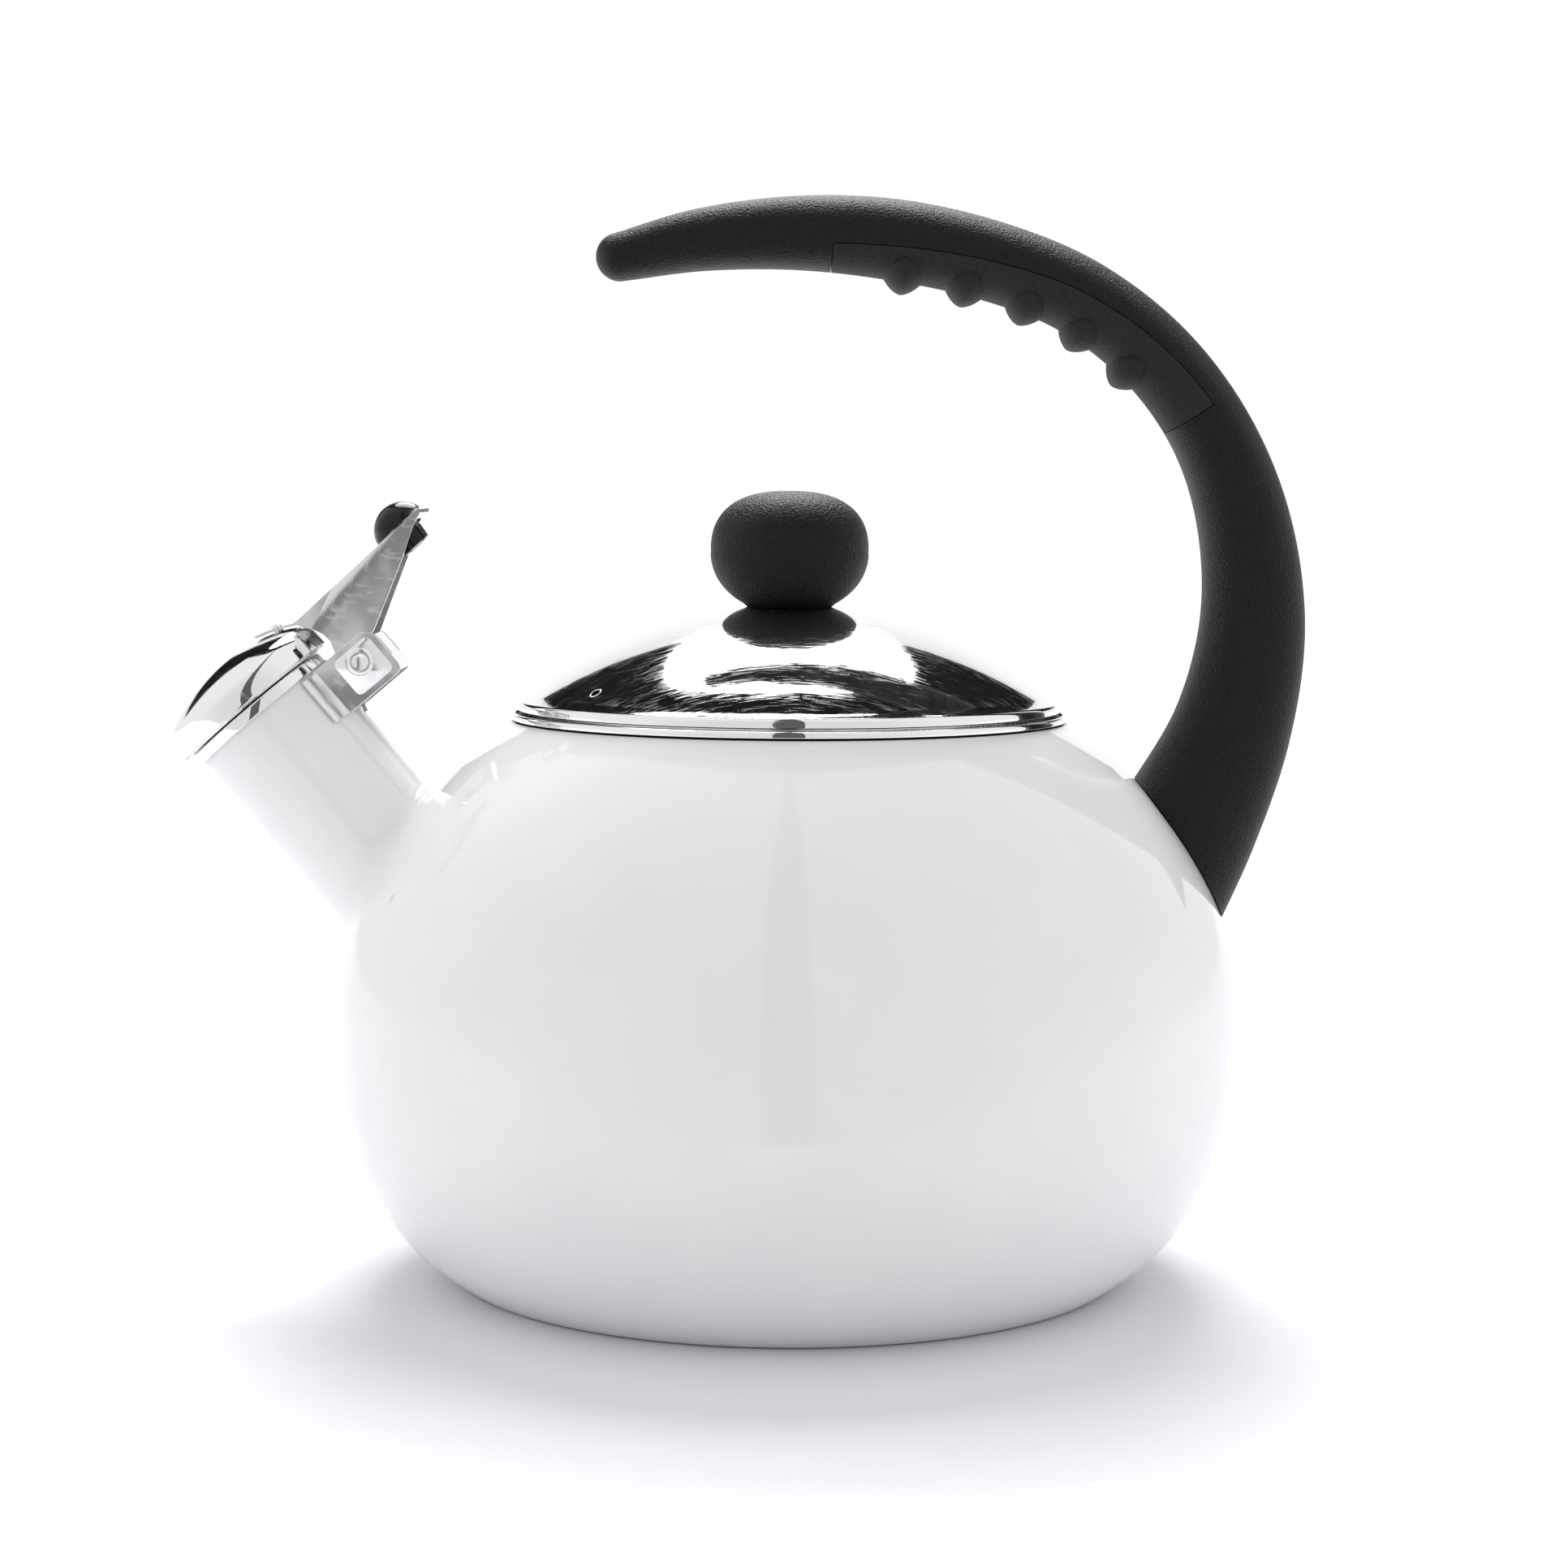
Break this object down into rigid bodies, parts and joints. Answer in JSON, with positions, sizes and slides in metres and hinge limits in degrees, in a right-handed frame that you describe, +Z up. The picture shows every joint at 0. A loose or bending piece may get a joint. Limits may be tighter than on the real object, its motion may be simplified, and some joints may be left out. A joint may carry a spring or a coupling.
{
  "type": "stovetop whistling kettle",
  "caption": "Round squat enamelled stovetop kettle with a lift-off domed lid, a slanted spout closed by a sprung whistle cap with a thumb lever, and a C-shaped overhead handle.",
  "frame": {"origin": "centre of the flat base, where the kettle stands", "axes": "+Z up through the lid knob; -X towards the spout, +X towards the handle's foot; Y = 0 is the kettle's plane of symmetry"},
  "size_m": [0.2381, 0.19, 0.225],
  "materials": {
    "white_enamel": "glossy white vitreous enamel on steel",
    "polished_steel": "mirror-polished stainless steel",
    "black_phenolic": "satin black phenolic moulding with a fine grain",
    "soft_grip": "matte soft-touch elastomer",
    "gloss_black": "glossy black phenolic",
    "brass": "turned brass",
    "spring_steel": "drawn spring wire",
    "silicone_seal": "soft grey silicone"
  },
  "bodies": {
    "kettle": {"body_shell": "white_enamel", "base_pan": "white_enamel", "mouth_trim_ring": "polished_steel", "spout_tube": "white_enamel", "spout_trim_ring": "polished_steel", "hinge_bracket": "polished_steel", "hinge_pin": "polished_steel", "hinge_spring": "spring_steel", "handle_body": "black_phenolic", "grip_insert": "soft_grip", "handle_tang": "polished_steel", "handle_screw_lower": "polished_steel", "handle_screw_upper": "polished_steel"},
    "lid": {"lid_dome": "polished_steel", "lid_collar": "polished_steel", "lid_knob": "black_phenolic", "knob_insert": "brass", "knob_screw": "polished_steel", "knob_washer": "silicone_seal"},
    "whistle_cap": {"cap_shell": "polished_steel", "whistle_inner_plate": "polished_steel", "whistle_spacer": "polished_steel", "whistle_outer_plate": "polished_steel", "thumb_lever": "polished_steel", "lever_rivet_front": "polished_steel", "lever_rivet_rear": "polished_steel", "thumb_ball": "gloss_black", "thumb_ball_foot": "gloss_black", "thumb_ball_pin": "polished_steel"}
  },
  "joints": [
    {"name": "cap_hinge", "type": "hinge", "parent": "kettle", "child": "whistle_cap", "pos_m": [-0.0889, 0, 0.12842], "axis": [0, 1, 0], "range_deg": [0, 45], "stiffness_Nm_per_rad": 0.04, "springref_deg": -34.38, "deforming": ["hinge_spring"]},
    {"name": "lid_lift", "type": "slide", "parent": "kettle", "child": "lid", "axis": [0, 0, 1], "range_m": [0, 0.038]}
  ]
}
